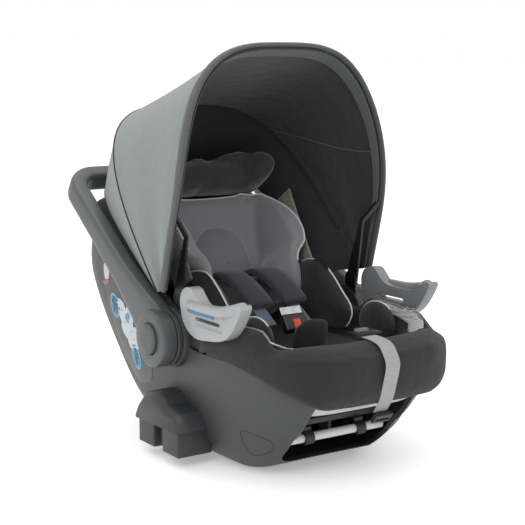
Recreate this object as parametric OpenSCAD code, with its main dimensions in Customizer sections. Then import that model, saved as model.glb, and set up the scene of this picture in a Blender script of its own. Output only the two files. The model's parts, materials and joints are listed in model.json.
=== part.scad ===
// Infant car seat: rocker tub, swinging carry handle, folding hood, padded seat and harness.
// The handle hinge line runs along X; the front of the seat faces -Y and Z is up.

/* [Shell] */
// Half-width of the tub at its rim
shell_half_w = 171; // [168:1:172]
// Height of the rim at the front
rim_front_z = 186; // [180:1:190]
// Height of the rim behind the head
rim_back_z = 380; // [370:1:382]
// Wall thickness of the moulded tub
shell_wall = 4; // [3:0.5:5]

/* [Handle] */
// Height of the handle hinge above the floor
hinge_z = 199; // [196:1:202]
// Distance from the hinge to the middle of the grip bar
handle_reach = 392; // [390:1:400]
// Angle of the handle above level, behind the seat
handle_angle = 35; // [33:1:38]
// Distance from the middle of the seat to the middle of an arm
arm_x = 190; // [190:1:192]
// Radius of the round release buttons
button_r = 25; // [22:1:28]

/* [Hood] */
// Height of the hood hinge above the floor
hood_z = 262; // [258:1:266]
// Distance of the hood hinge line in front of the handle hinge
hood_y = -20; // [-24:1:-18]
// Reach of the hood from its hinge line to its crown
hood_reach = 397; // [392:1:400]
// Half-width of the open hood
hood_half_w = 204; // [198:1:206]
// Angle of the front bow's legs above level, measured from the back
hood_open = 106; // [102:1:108]

/* [Padding] */
// Lean of the backrest above level
back_angle = 57; // [54:1:60]
// Height of the seat pan
pan_z = 172; // [168:1:176]
// Thickness of the fabric-covered edge roll
roll = 28; // [24:1:30]

/* [Hardware] */
// Diameter of the steel base bars
bar_d = 13.5; // [12:0.5:16]
// Width of the harness webbing
web_w = 25; // [22:1:28]
// Thickness of the harness webbing
web_t = 2; // [1.5:0.5:2.5]
// Gap kept between pieces that move past each other
gap = 0.4; // [0.3:0.1:0.6]

/* [Hidden] */
$fn = 64;
origin_y = -7.5;              // shift that centres the plan outline on the origin
around = 64;                 // points round the tub
back_foot = [69, 180];       // where the backrest meets the pan, Y and Z
hub_r = 46;
guide_x = 190;               // outer face of the belt guides
lever_y = 214;               // hinge line of the release lever
lever_z = 66;
sides = [-1, 1];

// ---- helpers ----

function mix(a, b, t) = a + (b - a) * t;
function clamp01(t) = max(0, min(1, t));
function ease(t) = let (c = clamp01(t)) c * c * (3 - 2 * c);
function sign_of(v) = v < 0 ? -1 : 1;
function power(v, n) = sign_of(v) * pow(abs(v), n);
function mid(ring) = [for (k = [0:2]) let (s = [for (p = ring) p[k]]) sum(s) / len(ring)];
function sum(v, i = 0) = i < len(v) ? v[i] + sum(v, i + 1) : 0;

// Closed skin through a stack of rings with the same number of points. Each end is closed by a
// fan to its middle or, where a ring is a strip folded back on itself, across the strip.
module ring_skin(rings, flip = false, strip = false) {
    n = len(rings[0]);
    m = len(rings);
    last = (m - 1) * n;
    points = [for (r = rings) each r, if (!strip) mid(rings[0]), if (!strip) mid(rings[m - 1])];
    walls = [for (j = [0:m - 2], i = [0:n - 1])
        let (a = j * n + i, b = j * n + (i + 1) % n, c = b + n, d = a + n)
        each [[a, b, c], [a, c, d]]];
    fans = [for (i = [0:n - 1])
        each [[n * m, (i + 1) % n, i], [n * m + 1, last + i, last + (i + 1) % n]]];
    bands = [for (i = [0:n / 2 - 2]) let (j = n - 1 - i)
        each [[i, j, i + 1], [i + 1, j, j - 1], [last + i, last + i + 1, last + j],
            [last + i + 1, last + j - 1, last + j]]];
    faces = concat(walls, strip ? bands : fans);
    polyhedron(points, flip ? [for (f = faces) [f[2], f[1], f[0]]] : faces, convexity = 6);
}

module both_sides() {
    children();
    mirror([1, 0, 0]) children();
}

// Frame of the backrest: X across, Z up along the back, -Y out of its surface
module on_back() {
    translate([0, back_foot[0], back_foot[1]]) rotate([back_angle - 90, 0, 0]) children();
}

module rounded_box(size, r) {
    hull() for (x = [r, size[0] - r], y = [r, size[1] - r], z = [r, size[2] - r])
        translate([x, y, z]) sphere(r, $fn = 20);
}

// Webbing along points in the Y-Z plane, as short overlapping flat lengths joined in one band
module band(points, w, t) {
    n = len(points);
    function normal(i) = let (a = points[max(0, i - 1)], b = points[min(n - 1, i + 1)], d = b - a)
        [-d[1], d[0]] / norm(d) * t / 2;
    upper = [for (i = [0:n - 1]) points[i] + normal(i)];
    lower = [for (i = [n - 1:-1:0]) points[i] - normal(i)];
    rotate([90, 0, 90]) translate([0, 0, -w / 2]) linear_extrude(w) polygon(concat(upper, lower));
}

// ---- tub ----

// Square-cornered oval: the front is softer than the back
function outline(half_w, front, back, n_back, crowd = 0) = [for (i = [0:around - 1])
    let (b = 360 * i / around, a = b - crowd * sin(2 * b), n = sin(a) > 0 ? n_back : 4)
    [half_w * power(cos(a), 2 / n), (sin(a) > 0 ? back : front) * power(sin(a), 2 / n)]];

function rock_z(y) = 2 + 46 * pow(clamp01((-y - 80) / 124), 2.2) + 8 * pow(clamp01((y - 100) / 50), 2);
function rim_z(y) = rim_front_z + (rim_back_z - rim_front_z) * ease((y + 70) / 420);
function half_w_at(t) = lookup(t, [[0, 108], [0.09, 131], [0.235, 149], [0.48, 163], [0.73, 169],
    [1, shell_half_w]]);
function front_at(t) = lookup(t, [[0, 204], [0.04, 218], [0.21, 249], [0.47, 276], [0.7, 298], [1, 312]]);
function back_at(t) = lookup(t, [[0, 150], [0.05, 176], [0.12, 204], [0.2, 228], [0.37, 270],
    [0.55, 322], [0.7, 350], [0.85, 340], [1, 312]]);

function tub_ring(t, inset) = [for (p = outline(half_w_at(t) - inset, front_at(t) - inset,
        back_at(t) - inset, 5 + 3 * t))
    let (foot = rock_z(p[1] * 0.9), top = rim_z(p[1]))
    [p[0], p[1], mix(foot + inset * (1 - t), top, t)]];

function floor_ring(s, inset) = [for (p = outline(half_w_at(0) - inset, front_at(0) - inset,
        back_at(0) - inset, 5)) [p[0] * s, p[1] * s, rock_z(p[1] * s * 0.9) + inset]];

tub_steps = [0, 0.05, 0.12, 0.2, 0.3, 0.42, 0.55, 0.7, 0.85, 1];
floor_steps = [0.3, 0.6, 0.82];

module outer_shell() {
    outer = concat([for (s = floor_steps) floor_ring(s, 0)], [for (t = tub_steps) tub_ring(t, 0)]);
    inner = concat([for (s = floor_steps) floor_ring(s, shell_wall)],
        [for (t = tub_steps) tub_ring(t, shell_wall)]);
    color("#55565a") difference() {
        ring_skin(concat(outer, [for (i = [len(inner) - 1:-1:0]) inner[i]]), true);
        translate([-97, -400, 26]) cube([194, 240, 122]);          // front opening over the base bar
        translate([-70, 205, 40]) cube([140, 90, 50]);             // rear slot for the release lever
        translate([-80, lever_y, lever_z]) rotate([0, 90, 0]) cylinder(r = 3.05, h = 160);
    }
}

module floor_pads() {
    color("#26272a") both_sides() for (y = [-62, 62])
        translate([84, y - 30, 0]) cube([16, 60, 1.8]);
}

module base_bar(y, z, length) {
    translate([-length / 2, y, z]) rotate([0, 90, 0]) cylinder(d = bar_d, h = length);
}

module base_bar_front() { color("#e8e9ea") base_bar(-196, 60, 190); }
module base_bar_rear() { color("#e8e9ea") base_bar(118, 48, 190); }

module bar_clips() {
    color("#1f2022") for (s = sides) translate([s * 50 - 8, -196, 60]) rotate([0, 90, 0]) difference() {
        union() {
            cylinder(r = bar_d / 2 + 4, h = 16);
            translate([-16, 0, 0]) cube([12, 26, 16]);
        }
        translate([0, 0, -1]) cylinder(d = bar_d, h = 18);
    }
}

module carrier_plate() {
    color("#4b4c4f") difference() {
        translate([-92, -186, 76.2]) cube([184, 60, 8]);
        for (x = [-60, 0, 60]) translate([x - 18, -170, 70]) cube([36, 30, 20]);
    }
    color("#4b4c4f") for (x = [-92, -31, 25, 86]) translate([x, -150, 34]) cube([6, 24, 42.2]);
}

// ---- handle ----

module hub_housings() {
    color("#3c3d40") both_sides() translate([shell_half_w + 0.2, 0, hinge_z]) rotate([0, 90, 0])
        difference() {
            cylinder(r = 50, h = 3.4);
            translate([0, 0, -1]) cylinder(r = 12, h = 6);
        }
}

module pivot_pins() {
    color("#8d9093") both_sides() translate([shell_half_w + 0.2, 0, hinge_z]) rotate([0, 90, 0])
        cylinder(r = 12, h = 29);
}

// Path of the handle in its own plane: X across, R away from the hinge
corner_r = 42;
function handle_path() = concat(
    [for (r = [20, 60, 110, 150, 200, 260]) [-arm_x, r]],
    [for (a = [180:-15:90]) [-arm_x + corner_r + corner_r * cos(a),
        handle_reach - corner_r + corner_r * sin(a)]],
    [for (x = [-55, 0]) [x, handle_reach]]);
function mirrored(path) = concat(path, [for (i = [len(path) - 2:-1:0]) [-path[i][0], path[i][1]]]);

// Rounded rectangle of the handle's section: across the arm, then along the swing
function handle_section(w, d) = [for (i = [0:15]) let (a = 360 * (i + 0.5) / 16)
    [w / 2 * power(cos(a), 0.6), d / 2 * power(sin(a), 0.6)]];

function arm_depth(r) = lookup(r, [[0, 84], [60, 74], [110, 56], [150, 45], [260, 40], [420, 38]]);
function swept(path, w, d = 0) = [for (i = [0:len(path) - 1])
    let (a = path[max(0, i - 1)], b = path[min(len(path) - 1, i + 1)], t = (b - a) / norm(b - a))
    [for (q = handle_section(w, d == 0 ? arm_depth(path[i][1]) : d))
        [path[i][0] + t[1] * q[0], path[i][1] - t[0] * q[0], q[1]]]];

// Turns X, R and depth into the seat's frame at the handle's rest angle
module in_handle_plane() {
    translate([0, 0, hinge_z]) rotate([handle_angle, 0, 0]) children();
}

module handle_arch() {
    color("#6b6d6f") difference() {
        union() {
            in_handle_plane() ring_skin(swept(mirrored(handle_path()), 30));
            both_sides() translate([175, 0, hinge_z]) rotate([0, 90, 0]) cylinder(r = hub_r, h = 40);
        }
        both_sides() translate([170, 0, hinge_z]) rotate([0, 90, 0]) cylinder(r = 12.05, h = 30.4);
        both_sides() translate([205, 0, hinge_z]) rotate([0, 90, 0]) cylinder(r = button_r + 0.3, h = 20);
    }
}

module handle_grip() {
    color("#3a3b3d") in_handle_plane() difference() {
        translate([-75, handle_reach, 0]) rotate([0, 90, 0]) cylinder(r = 22, h = 150);
        ring_skin(swept([[-90, handle_reach], [90, handle_reach]], 30.4, 38.4));
    }
}

module handle_button(side) {
    color("#7d7f81") translate([side > 0 ? 211 : -211, 0, hinge_z]) rotate([0, side * 90, 0]) {
        cylinder(r = button_r, h = 9);
        translate([0, 0, 9]) cylinder(r1 = button_r, r2 = button_r - 4, h = 2);
    }
}
module handle_button_left() { handle_button(-1); }
module handle_button_right() { handle_button(1); }

// ---- hood ----

hood_around = 36;
rear_reach = 348;            // reach of the hood's lower edge, behind the head
panel_angle = 47;            // seam between the rear and main panels

// Height above the middle of the handle's arm, square to it
function above_arm(y, z) = (z - hinge_z) * cos(handle_angle) - y * sin(handle_angle);
// Angle of the hood's rear edge at radius r, where it runs along the top of the arm
function edge_angle(r) = r < 52 ? -25 : handle_angle - asin(45 / r);
// The front bow's legs lean forward and its crown bends back
function bow_angle(r) = hood_open - 10 * ease((r - 120) / 280);

// Point of an arch about the hood hinge: u runs 0 to 1 over it, reach is its height
function arch_point(u, reach, angle_of, inset, boxy = 0.61) = let (
        r = (reach - inset) * power(sin(180 * u), boxy),
        a = angle_of(r),
        y = hood_y + r * cos(a),
        z = hood_z + r * sin(a),
        wide = mix(169, hood_half_w, ease((above_arm(y, z) - 27) / 34)))
    [-(wide - inset) * power(cos(180 * u), boxy), y, z];
function rear_edge(u, inset) = arch_point(u, rear_reach, function (r) edge_angle(r), inset, 0.28);
function seam_arch(u, inset) = arch_point(u, hood_reach, function (r) panel_angle, inset);
function front_arch(u, inset) = arch_point(u, hood_reach, function (r) bow_angle(r), inset);

function arch_u(i) = mix(0.0018, 0.9982, i / hood_around);
// Strip of skin across the hood: its points come from at(u, inset)
function arch_ring(at, under = 3.5, over = 0, start = 0) = concat(
    [for (i = [0:hood_around]) at(mix(start, 1 - start, arch_u(i)), over)],
    [for (i = [hood_around:-1:0]) at(mix(start, 1 - start, arch_u(i)), under)]);
function panel_point(u, t, f) = mix(seam_arch(u, t), front_arch(u, t), f);
// Strip across the main panel from share f0 to f1 of its way, between two insets
module panel_strip(shares, under = 3.5, over = 0, start = 0) {
    ring_skin([for (f = shares) arch_ring(function (u, t) panel_point(u, t, f), under, over, start)],
        strip = true);
}

// The panels are pulled straight from arch to arch
module hood_main_panel() {
    color("#8f9695") panel_strip([for (f = [0.005:0.16:0.97]) f]);
}

module hood_rear_panel() {
    color("#8a9190") ring_skin([for (f = [0:0.25:1])
        arch_ring(function (u, t) mix(rear_edge(u, t), seam_arch(u, t), f))], strip = true);
}

module hood_hem() {
    color("#5c5f61") panel_strip([0.97, 0.985, 1]);
}

module hood_bow() {
    color("#2c2d2f") difference() {
        union() {
            panel_strip([0.94, 0.99], 7.3, 4.3, 0.052);
            both_sides() hull() {
                translate([169.8, hood_y + 104 * cos(hood_open), hood_z + 98]) cube([3.6, 7, 5]);
                translate([169.8, hood_y, hood_z]) rotate([0, 90, 0]) cylinder(r = 14, h = 3.6, $fn = 32);
            }
            both_sides() hull() {
                translate([169.8, hood_y + 104 * cos(hood_open), hood_z + 98]) cube([3.6, 7, 5]);
                translate([193, hood_y + 136 * cos(hood_open) - 3, hood_z + 128]) cube([3.6, 7, 6]);
            }
        }
        both_sides() translate([160, hood_y, hood_z]) rotate([0, 90, 0]) cylinder(r = 5.05, h = 20);
    }
}

module hood_rear_bow() {
    color("#2c2d2f") panel_strip([0.012, 0.04], 7.3, 4.3, 0.06);
}

module hood_mounts() {
    color("#3c3d40") both_sides() {
        translate([167.4, hood_y - 14, 199.5]) cube([2, 28, 62.5]);
        translate([167.4, hood_y, hood_z]) rotate([0, 90, 0]) cylinder(r = 14, h = 2);
        translate([169, hood_y, hood_z]) rotate([0, 90, 0]) cylinder(r = 5, h = 4.4);
    }
}

// ---- padding ----

function skirt_z(y) = let (f = clamp01((-y - 60) / 250)) 204 - 6 * ease(f * 2) - 62 * pow(f, 2.6);
function skirt_on(y) = ease((-y - 90) / 24);

function roll_at(y) = roll + 10 * ease((-y - 230) / 50);

// A ring of the cover: half-width, front and back reach, share of the roll, extra rise, how far
// down towards the pan, how far down the outside skirt, and the widest it is between the hubs
function cover_ring(w, front, back, up, rise, drop, skirt = 0, side = 166.4) =
    [for (p = outline(w, front, back, 7, 22.9))
        let (on = skirt_on(p[1]), lim = mix(side, 400, on), top = rim_z(p[1]) + up * roll_at(p[1]) + rise,
            low = mix(rim_z(p[1]) + 2.6, skirt_z(p[1]), on))
        [max(-lim, min(lim, p[0])), p[1], mix(mix(top, pan_z, drop), low, skirt)]];

cover_top = [
    cover_ring(177.5, 318, 309, 0, 2.6, 0, 1),
    cover_ring(181, 329, 309.5, 0, 5, 0, 0.5),
    cover_ring(181, 331, 309.5, 0, 9, 0),
    cover_ring(176, 323, 303, 0.7, 0, 0),
    cover_ring(166, 304, 293, 0.95, 0, 0),
    cover_ring(155, 285, 287, 1, 0, 0),
    cover_ring(147, 267, 281, 0.72, 0, 0),
    cover_ring(142, 251, 272, 0, 6, 0.25),
    cover_ring(134, 226, 226, 0, 0, 0.6),
    cover_ring(120, 190, 124, 0, 0, 0.95),
    cover_ring(60, 96, 44, 0, 0, 1)
];
cover_under = [
    cover_ring(175.4, 317, 307, 0, 1.8, 0, 0.96, 162.6),
    cover_ring(175.4, 317, 307, 0, 2.1, 0, 0, 162.6),
    cover_ring(162, 300, 298, 0, 2.1, 0, 0, 161),
    cover_ring(153, 278, 289, 0, 3, 0),
    cover_ring(147.5, 260, 279, 0, 0, 0.25),
    cover_ring(139, 234, 234, 0, -5, 0.6),
    cover_ring(125, 197, 132, 0, -70, 0.9),
    cover_ring(63, 100, 50, 0, -150, 0.95)
];

module seat_cover() {
    color("#232324") ring_skin(concat([for (i = [len(cover_top) - 1:-1:0]) cover_top[i]], cover_under));
}

function lowered(ring, dz, s) = [for (p = ring) [p[0] * s, p[1] * s, p[2] - dz]];

module foam_liner() {
    top = [for (i = [2:len(cover_under) - 1]) lowered(cover_under[i], i < 3 ? 3 : 3, i < 3 ? 0.98 : 1.016)];
    sides_down = [for (t = [0.93, 0.8, 0.6, 0.47]) tub_ring(t, 7)];
    base = [for (s = [0.7, 0.3]) [for (p = tub_ring(0.47, 7)) [p[0] * s, p[1] * s, min(p[2], 128)]]];
    color("#d9d9d6") difference() {
        ring_skin(concat([for (i = [len(top) - 1:-1:0]) top[i]], sides_down, base));
        on_back() translate([-84.4, 24, 18]) cube([168.8, 9.4, 224]);      // pocket of the board
    }
}

// U-shaped pad on the backrest: wings reach out by depth, the middle is thick; drop rounds
// its upper corners off
function u_ring(s, w, depth, thick, wall, base, drop = 0) = let (
        front = [[w * 0.3, thick], [w * 0.6, thick + 2], [w - wall - 12, max(thick + 10, depth * 0.5)],
            [w - wall, max(thick + 20, depth * 0.8)], [w - wall * 0.8, depth - 4], [w - wall * 0.4, depth]],
        back = [[w * 0.3, 0], [w * 0.6, 0], [w - 14, 2], [w - 2, 16], [w, depth * 0.6], [w, depth - 8]],
        row = function (q, c) [for (i = [5:-1:0]) [-q[i][0], q[i][1]], c, for (i = [0:5]) q[i]],
        f = row(front, [0, thick]), r = row(back, [0, 0]),
        up = function (x) s - drop * pow(max(0, abs(x) - 60) / 68, 2))
    [for (p = f) [p[0], -base - p[1], up(p[0])], for (i = [12:-1:0]) [r[i][0], -base - r[i][1], up(r[i][0])]];

module infant_insert() {
    color("#6f6f73") on_back() ring_skin([
        u_ring(15, 90, 80, 22, 20, -21), u_ring(22, 95, 104, 24, 22, -22),
        u_ring(60, 96.5, 122, 26, 22, -23), u_ring(88, 97, 126, 28, 22, -24),
        u_ring(112, 122, 132, 32, 26, -24), u_ring(150, 130, 128, 38, 26, -24),
        u_ring(190, 130, 112, 46, 26, -24, 10), u_ring(226, 126, 92, 54, 24, -24, 22),
        u_ring(246, 112, 74, 54, 20, -22, 26)], strip = true);
}

module back_pad() {
    color("#68696e") on_back() translate([0, -16, 112]) rotate([8.8, 0, 0]) hull() for (z = [-40, 44])
        translate([0, 0, z]) rotate([90, 0, 0])
            cylinder(r1 = z < 0 ? 42 : 46, r2 = z < 0 ? 34 : 38, h = 10, $fn = 32);
}

module backrest_board() {
    color("#2b2c2e") on_back() translate([-84, 27, 22]) cube([168, 6, 216]);
}

module headrest_plate() {
    color("#2b2c2e") on_back() {
        translate([-95, 6, 250]) cube([190, 5, 52]);
        for (x = [-60, 40]) translate([x, 34, 180]) cube([20, 4, 100]);
        for (x = [-60, 40]) translate([x, 11, 262]) cube([20, 27, 18]);
    }
}

module headrest_pad() {
    color("#434346") on_back() ring_skin([
        u_ring(250, 118, 74, 40, 22, -4), u_ring(262, 127, 96, 46, 24, -4, 10),
        u_ring(284, 129, 104, 49, 24, -4, 16), u_ring(304, 124, 96, 47, 22, -2, 26),
        u_ring(314, 110, 76, 40, 18, 2, 36)], strip = true);
}

module side_bolster(side) {
    rim = [[69, 284], [42, 293], [18, 296], [-8, 296], [-39, 279], [-67, 255], [-91, 235], [-98, 218],
        [-84, 190], [5, 184], [41, 196], [71, 225], [80, 259]];
    color("#2a282b") mirror([side < 0 ? 1 : 0, 0, 0]) hull() {
        translate([101, 0, 0]) rotate([90, 0, 90]) linear_extrude(14) polygon(rim);
        translate([98.6, -6, 240]) rotate([0, 90, 0]) cylinder(r = 36, h = 23, $fn = 32);
    }
}
module side_bolster_left() { side_bolster(-1); }
module side_bolster_right() { side_bolster(1); }

module hip_bolsters() {
    color("#232324") both_sides() translate([104, -200, 190]) rounded_box([26, 84, 58], 12);
}

module crotch_pad() {
    color("#1f1f21") translate([0, -128, 176]) rotate([18, 0, 0]) hull() for (x = [-24, 24], z = [8, 36])
        translate([x, 16, z]) rotate([90, 0, 0]) cylinder(r = 8, h = 16, $fn = 24);
}

module crotch_strap() {
    color("#3a3b3d") translate([-web_w / 2, -104, 174]) rotate([12, 0, 0]) cube([web_w, web_t, 40]);
}

module buckle_body() {
    color("#1f2022") translate([-22, -106, 207]) rotate([-33, 0, 0]) difference() {
        rounded_box([44, 16, 30], 4);
        translate([15, -3, 4]) cube([14, 12, 16]);
    }
}

module buckle_button() {
    color("#e8491d") translate([-22, -106, 207]) rotate([-33, 0, 0]) translate([15.4, -1.6, 4.4])
        cube([13.2, 5.6, 15.2]);
}

module buckle_tongues() {
    color("#b9bcbd") translate([-22, -106, 207]) rotate([-33, 0, 0]) for (x = [5, 25])
        translate([x, 6, 30.4]) cube([14, 3, 12]);
}

module shoulder_straps() {
    path = [[-74, 212], [-54, 224], [-24, 242], [14, 258], [50, 264], [84, 256]];
    color("#6d7f8e") for (x = [-34, 34]) translate([x, 0, 0]) band(path, web_w, web_t);
}

module shoulder_pads() {
    path = [[-46, 241], [-20, 257], [16, 272], [50, 278], [82, 270]];
    color("#3d3b45") for (x = [-34, 34]) translate([x, 0, 0]) band(path, 48, 14);
}

module mesh_strips() {
    color("#55564a") on_back() both_sides() translate([123.5, -126, 14]) cube([3, 50, 76]);
}

// ---- belt guides, adapters and trim ----

module belt_guide(side) {
    edge = [[-50, 258], [-54, 280], [-68, 291], [-84, 288], [-97, 270], [-125, 266], [-165, 267],
        [-190, 273], [-214, 286], [-224, 281], [-212, 258], [-194, 238], [-168, 224], [-133, 217],
        [-92, 217], [-64, 232]];
    color("#b9bcbd") mirror([side < 0 ? 1 : 0, 0, 0]) difference() {
        translate([guide_x - 22, 0, 0]) rotate([90, 0, 90]) linear_extrude(22) polygon(edge);
        translate([guide_x - 40, -160, 240]) cube([80, 62, 8]);
        translate([guide_x - 16, -154, 247.5]) cube([10, 50, 30]);
    }
}
module belt_guide_left() { belt_guide(-1); }
module belt_guide_right() { belt_guide(1); }

module guide_inlays() {
    color("#5d8199") both_sides() translate([guide_x + 0.1, -156, 254]) cube([1.4, 74, 6]);
}

module adapter(side) {
    section = [[134.5, 18], [204, 18], [204, 66], [196, 84], [190, 108], [168, 108], [164.5, 92],
        [159.5, 70], [152.5, 50], [143, 30]];
    color("#2e2f31") mirror([side < 0 ? 1 : 0, 0, 0]) difference() {
        translate([0, 67, 0]) rotate([90, 0, 0]) linear_extrude(140) polygon(section);
        translate([188, -16, 10]) cube([30, 26, 50]);
    }
}
module adapter_left() { adapter(-1); }
module adapter_right() { adapter(1); }

module side_labels() {
    color("#17181a") both_sides() translate([shell_half_w + 0.2, 70, 128]) cube([0.8, 70, 92]);
}

strap_path = [[-262, 227.4], [-284, 227.8], [-304, 226.8], [-321, 222], [-332, 210], [-338, 198], [-337, 186],
    [-331, 164], [-324, 142], [-310, 120]];
module adjuster_strap() { color("#b4b4b3") band(strap_path, web_w, web_t); }

module strap_keeper() {
    color("#1f2022") translate([-16, -312, 104]) rotate([38, 0, 0]) difference() {
        cube([32, 6, 16]);
        translate([3, -1, 4]) cube([26, 8, 4]);
    }
}

module adjuster_plate() {
    color("#2c2d2f") translate([-24, -282, 230.4]) difference() {
        cube([48, 26, 2.4]);
        translate([13, 14, -1]) cube([22, 9, 6]);
    }
}

module adjuster_button() { color("#8f9294") translate([-10.5, -267.5, 231.6]) cube([21, 8, 5]); }

module lever_axle() {
    color("#8d9093") translate([-75, lever_y, lever_z]) rotate([0, 90, 0]) cylinder(r = 3, h = 150);
}

module release_lever() {
    color("#d8542c") difference() {
        union() {
            translate([-50, lever_y, lever_z]) rotate([0, 90, 0]) cylinder(r = 7, h = 100);
            translate([-50, lever_y, lever_z - 5]) cube([100, 24, 6]);
        }
        translate([-80, lever_y, lever_z]) rotate([0, 90, 0]) cylinder(r = 3.05, h = 160);
    }
}

module shell_screws() {
    color("#8d9093") both_sides() for (a = [60, 180, 300])
        translate([174.6, 47.6 * cos(a), hinge_z + 47.6 * sin(a)]) rotate([0, 90, 0])
            cylinder(r = 2, h = 0.3);
}

module placed() { translate([0, origin_y, 0]) children(); }

placed() outer_shell();
placed() floor_pads();
placed() base_bar_front();
placed() base_bar_rear();
placed() bar_clips();
placed() carrier_plate();
placed() hub_housings();
placed() pivot_pins();
placed() handle_arch();
placed() handle_grip();
placed() handle_button_left();
placed() handle_button_right();
placed() hood_main_panel();
placed() hood_rear_panel();
placed() hood_hem();
placed() hood_bow();
placed() hood_rear_bow();
placed() hood_mounts();
placed() foam_liner();
placed() seat_cover();
placed() belt_guide_left();
placed() belt_guide_right();
placed() guide_inlays();
placed() adapter_left();
placed() adapter_right();
placed() side_labels();
placed() backrest_board();
placed() headrest_plate();
placed() headrest_pad();
placed() infant_insert();
placed() back_pad();
placed() side_bolster_left();
placed() side_bolster_right();
placed() hip_bolsters();
placed() crotch_pad();
placed() crotch_strap();
placed() shoulder_pads();
placed() shoulder_straps();
placed() buckle_body();
placed() buckle_tongues();
placed() buckle_button();
placed() adjuster_strap();
placed() strap_keeper();
placed() adjuster_plate();
placed() adjuster_button();
placed() release_lever();
placed() lever_axle();
placed() mesh_strips();
placed() shell_screws();
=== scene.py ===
# Infant car seat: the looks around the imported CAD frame. Metres, Z up, front towards -Y.
# Shapes are written in millimetres from the handle's hinge line, with heights from the floor.
import bpy
import bmesh
import json
import math
from mathutils import Vector, Matrix, noise
from mathutils.bvhtree import BVHTree

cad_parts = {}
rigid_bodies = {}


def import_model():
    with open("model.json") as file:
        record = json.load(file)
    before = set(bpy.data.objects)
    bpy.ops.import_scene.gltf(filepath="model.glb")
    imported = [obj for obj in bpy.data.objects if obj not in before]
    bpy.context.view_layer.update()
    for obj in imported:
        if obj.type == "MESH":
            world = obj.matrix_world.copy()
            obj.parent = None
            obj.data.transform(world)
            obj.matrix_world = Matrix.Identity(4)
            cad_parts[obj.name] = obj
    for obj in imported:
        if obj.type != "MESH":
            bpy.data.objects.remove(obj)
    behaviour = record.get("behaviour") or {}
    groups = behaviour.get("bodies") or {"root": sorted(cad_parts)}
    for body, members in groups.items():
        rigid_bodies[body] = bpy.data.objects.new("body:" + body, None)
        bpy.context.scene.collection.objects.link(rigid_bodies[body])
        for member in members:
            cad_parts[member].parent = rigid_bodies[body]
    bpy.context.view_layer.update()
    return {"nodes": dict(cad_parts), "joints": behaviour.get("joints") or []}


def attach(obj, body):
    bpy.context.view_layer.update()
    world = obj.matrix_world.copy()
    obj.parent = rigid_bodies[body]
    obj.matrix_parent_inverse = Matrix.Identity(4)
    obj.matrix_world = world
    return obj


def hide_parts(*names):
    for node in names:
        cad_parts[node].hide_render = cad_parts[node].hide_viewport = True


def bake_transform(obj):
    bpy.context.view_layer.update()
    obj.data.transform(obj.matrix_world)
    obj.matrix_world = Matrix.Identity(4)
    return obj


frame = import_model()
joints = {j["name"]: j for j in frame["joints"]}
hinge = Vector(joints["handle_swing"]["pos_m"])
scene = bpy.context.scene


def place(p):
    # millimetres from the hinge line to frame metres
    return Vector((p[0] * 0.001, hinge.y + p[1] * 0.001, p[2] * 0.001))


# ---- camera and light ----

camera = {"from": (-1183.8, -1755.1, 636.8), "aim": (0, 0, 301.5), "lens": 89.14}
cameraData = bpy.data.cameras.new("camera")
cameraData.lens = camera["lens"]
cameraData.sensor_width = 36
cameraObject = bpy.data.objects.new("camera", cameraData)
scene.collection.objects.link(cameraObject)
cameraObject.location = place(camera["from"])
cameraObject.rotation_euler = (place(camera["aim"]) - place(camera["from"])).to_track_quat("-Z",
                                                                                           "Y").to_euler()
scene.camera = cameraObject
scene.view_settings.view_transform = "Standard"

light = {
    "sky": 1.0,           # even light from all round, and the white behind the seat
    "key": 15,            # large soft lamp, front left and high
    "fill": 3,            # weaker lamp, right
    "top": 12,            # overhead lamp that gives the rims their bright edge
}


def addLamp(name, spot, aim, power, size):
    data = bpy.data.lights.new(name, "AREA")
    data.energy = power
    data.size = size
    obj = bpy.data.objects.new(name, data)
    scene.collection.objects.link(obj)
    obj.location = place(spot)
    obj.rotation_euler = (place(aim) - place(spot)).to_track_quat("-Z", "Y").to_euler()


addLamp("key", (-1500, -1300, 1700), (0, 0, 300), light["key"], 1.4)
addLamp("fill", (1700, -900, 1100), (0, 0, 300), light["fill"], 1.6)
addLamp("top", (-100, 500, 2100), (0, 0, 300), light["top"], 1.5)

# ---- materials ----


def linear(code, share=0.72):
    # sRGB hex to the linear values a shader takes; share keeps colours true under the bright sky
    values = [int(code[i:i + 2], 16) / 255 for i in (1, 3, 5)]
    return [share * (v / 12.92 if v <= 0.04045 else ((v + 0.055) / 1.055) ** 2.4) for v in values] + [1.0]


def addNode(tree, kind, settings=None, links=None):
    # adds a node, sets its inputs or properties by name and links its inputs
    node = tree.nodes.new(kind)
    for key, value in (settings or {}).items():
        if key in node.inputs:
            node.inputs[key].default_value = value
        else:
            setattr(node, key, value)
    for key, source in (links or {}).items():
        tree.links.new(source, node.inputs[key])
    return node


def newMaterial(name, color, rough, extra=None):
    material = bpy.data.materials.new(name)
    material.use_nodes = True
    shader = material.node_tree.nodes["Principled BSDF"]
    shader.inputs["Base Color"].default_value = linear(color)
    shader.inputs["Roughness"].default_value = rough
    for key, value in (extra or {}).items():
        shader.inputs[key].default_value = value
    return material, material.node_tree, shader


def scaledPlace(tree, scale, turn=(0, 0, 0)):
    # place on the object in units of 1 / scale metres
    coords = addNode(tree, "ShaderNodeTexCoord")
    return addNode(tree, "ShaderNodeMapping", {"Scale": (scale, scale, scale), "Rotation": turn},
                   {"Vector": coords.outputs["Object"]}).outputs["Vector"]


def colorFrom(tree, shader, factor, dark, bright, low=0.35, high=0.65):
    # the base colour runs from dark to bright with factor
    ramp = addNode(tree, "ShaderNodeValToRGB", links={"Fac": factor})
    ramp.color_ramp.elements[0].position = low
    ramp.color_ramp.elements[0].color = linear(dark)
    ramp.color_ramp.elements[1].position = high
    ramp.color_ramp.elements[1].color = linear(bright)
    tree.links.new(ramp.outputs["Color"], shader.inputs["Base Color"])


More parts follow.
